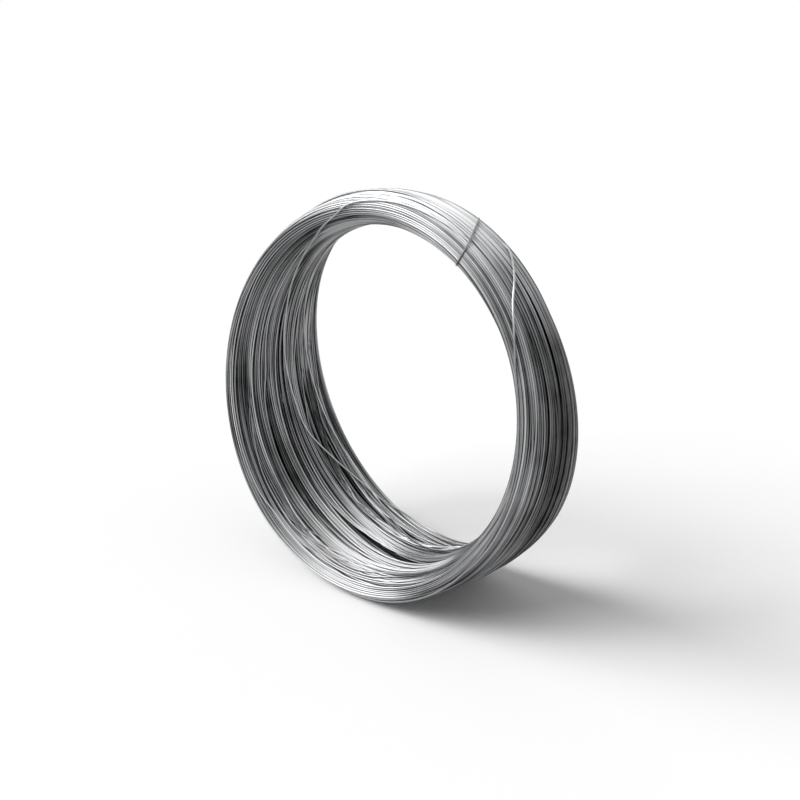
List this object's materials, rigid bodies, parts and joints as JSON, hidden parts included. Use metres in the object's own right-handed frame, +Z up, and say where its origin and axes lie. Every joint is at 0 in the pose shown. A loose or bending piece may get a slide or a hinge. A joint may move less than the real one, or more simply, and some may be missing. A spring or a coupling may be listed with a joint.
{
  "type": "coil of galvanized wire",
  "caption": "Coil of galvanized steel wire wound in many loose turns, held tight by one wire tie and spread wide opposite it.",
  "frame": {"origin": "bottom centre of the coil's box, on the surface that the rim stands on", "axes": "+Z up, Y along the coil's axis with the near end at -Y, the tie up and towards +X"},
  "size_m": [0.272, 0.11, 0.272],
  "materials": {
    "galvanized_wire": "bright drawn wire with a smooth zinc coat, half glossy",
    "tie_wire": "dull annealed tie wire"
  },
  "bodies": {
    "root": {"wire_coil": "galvanized_wire", "tie_wire": "tie_wire"}
  },
  "joints": []
}
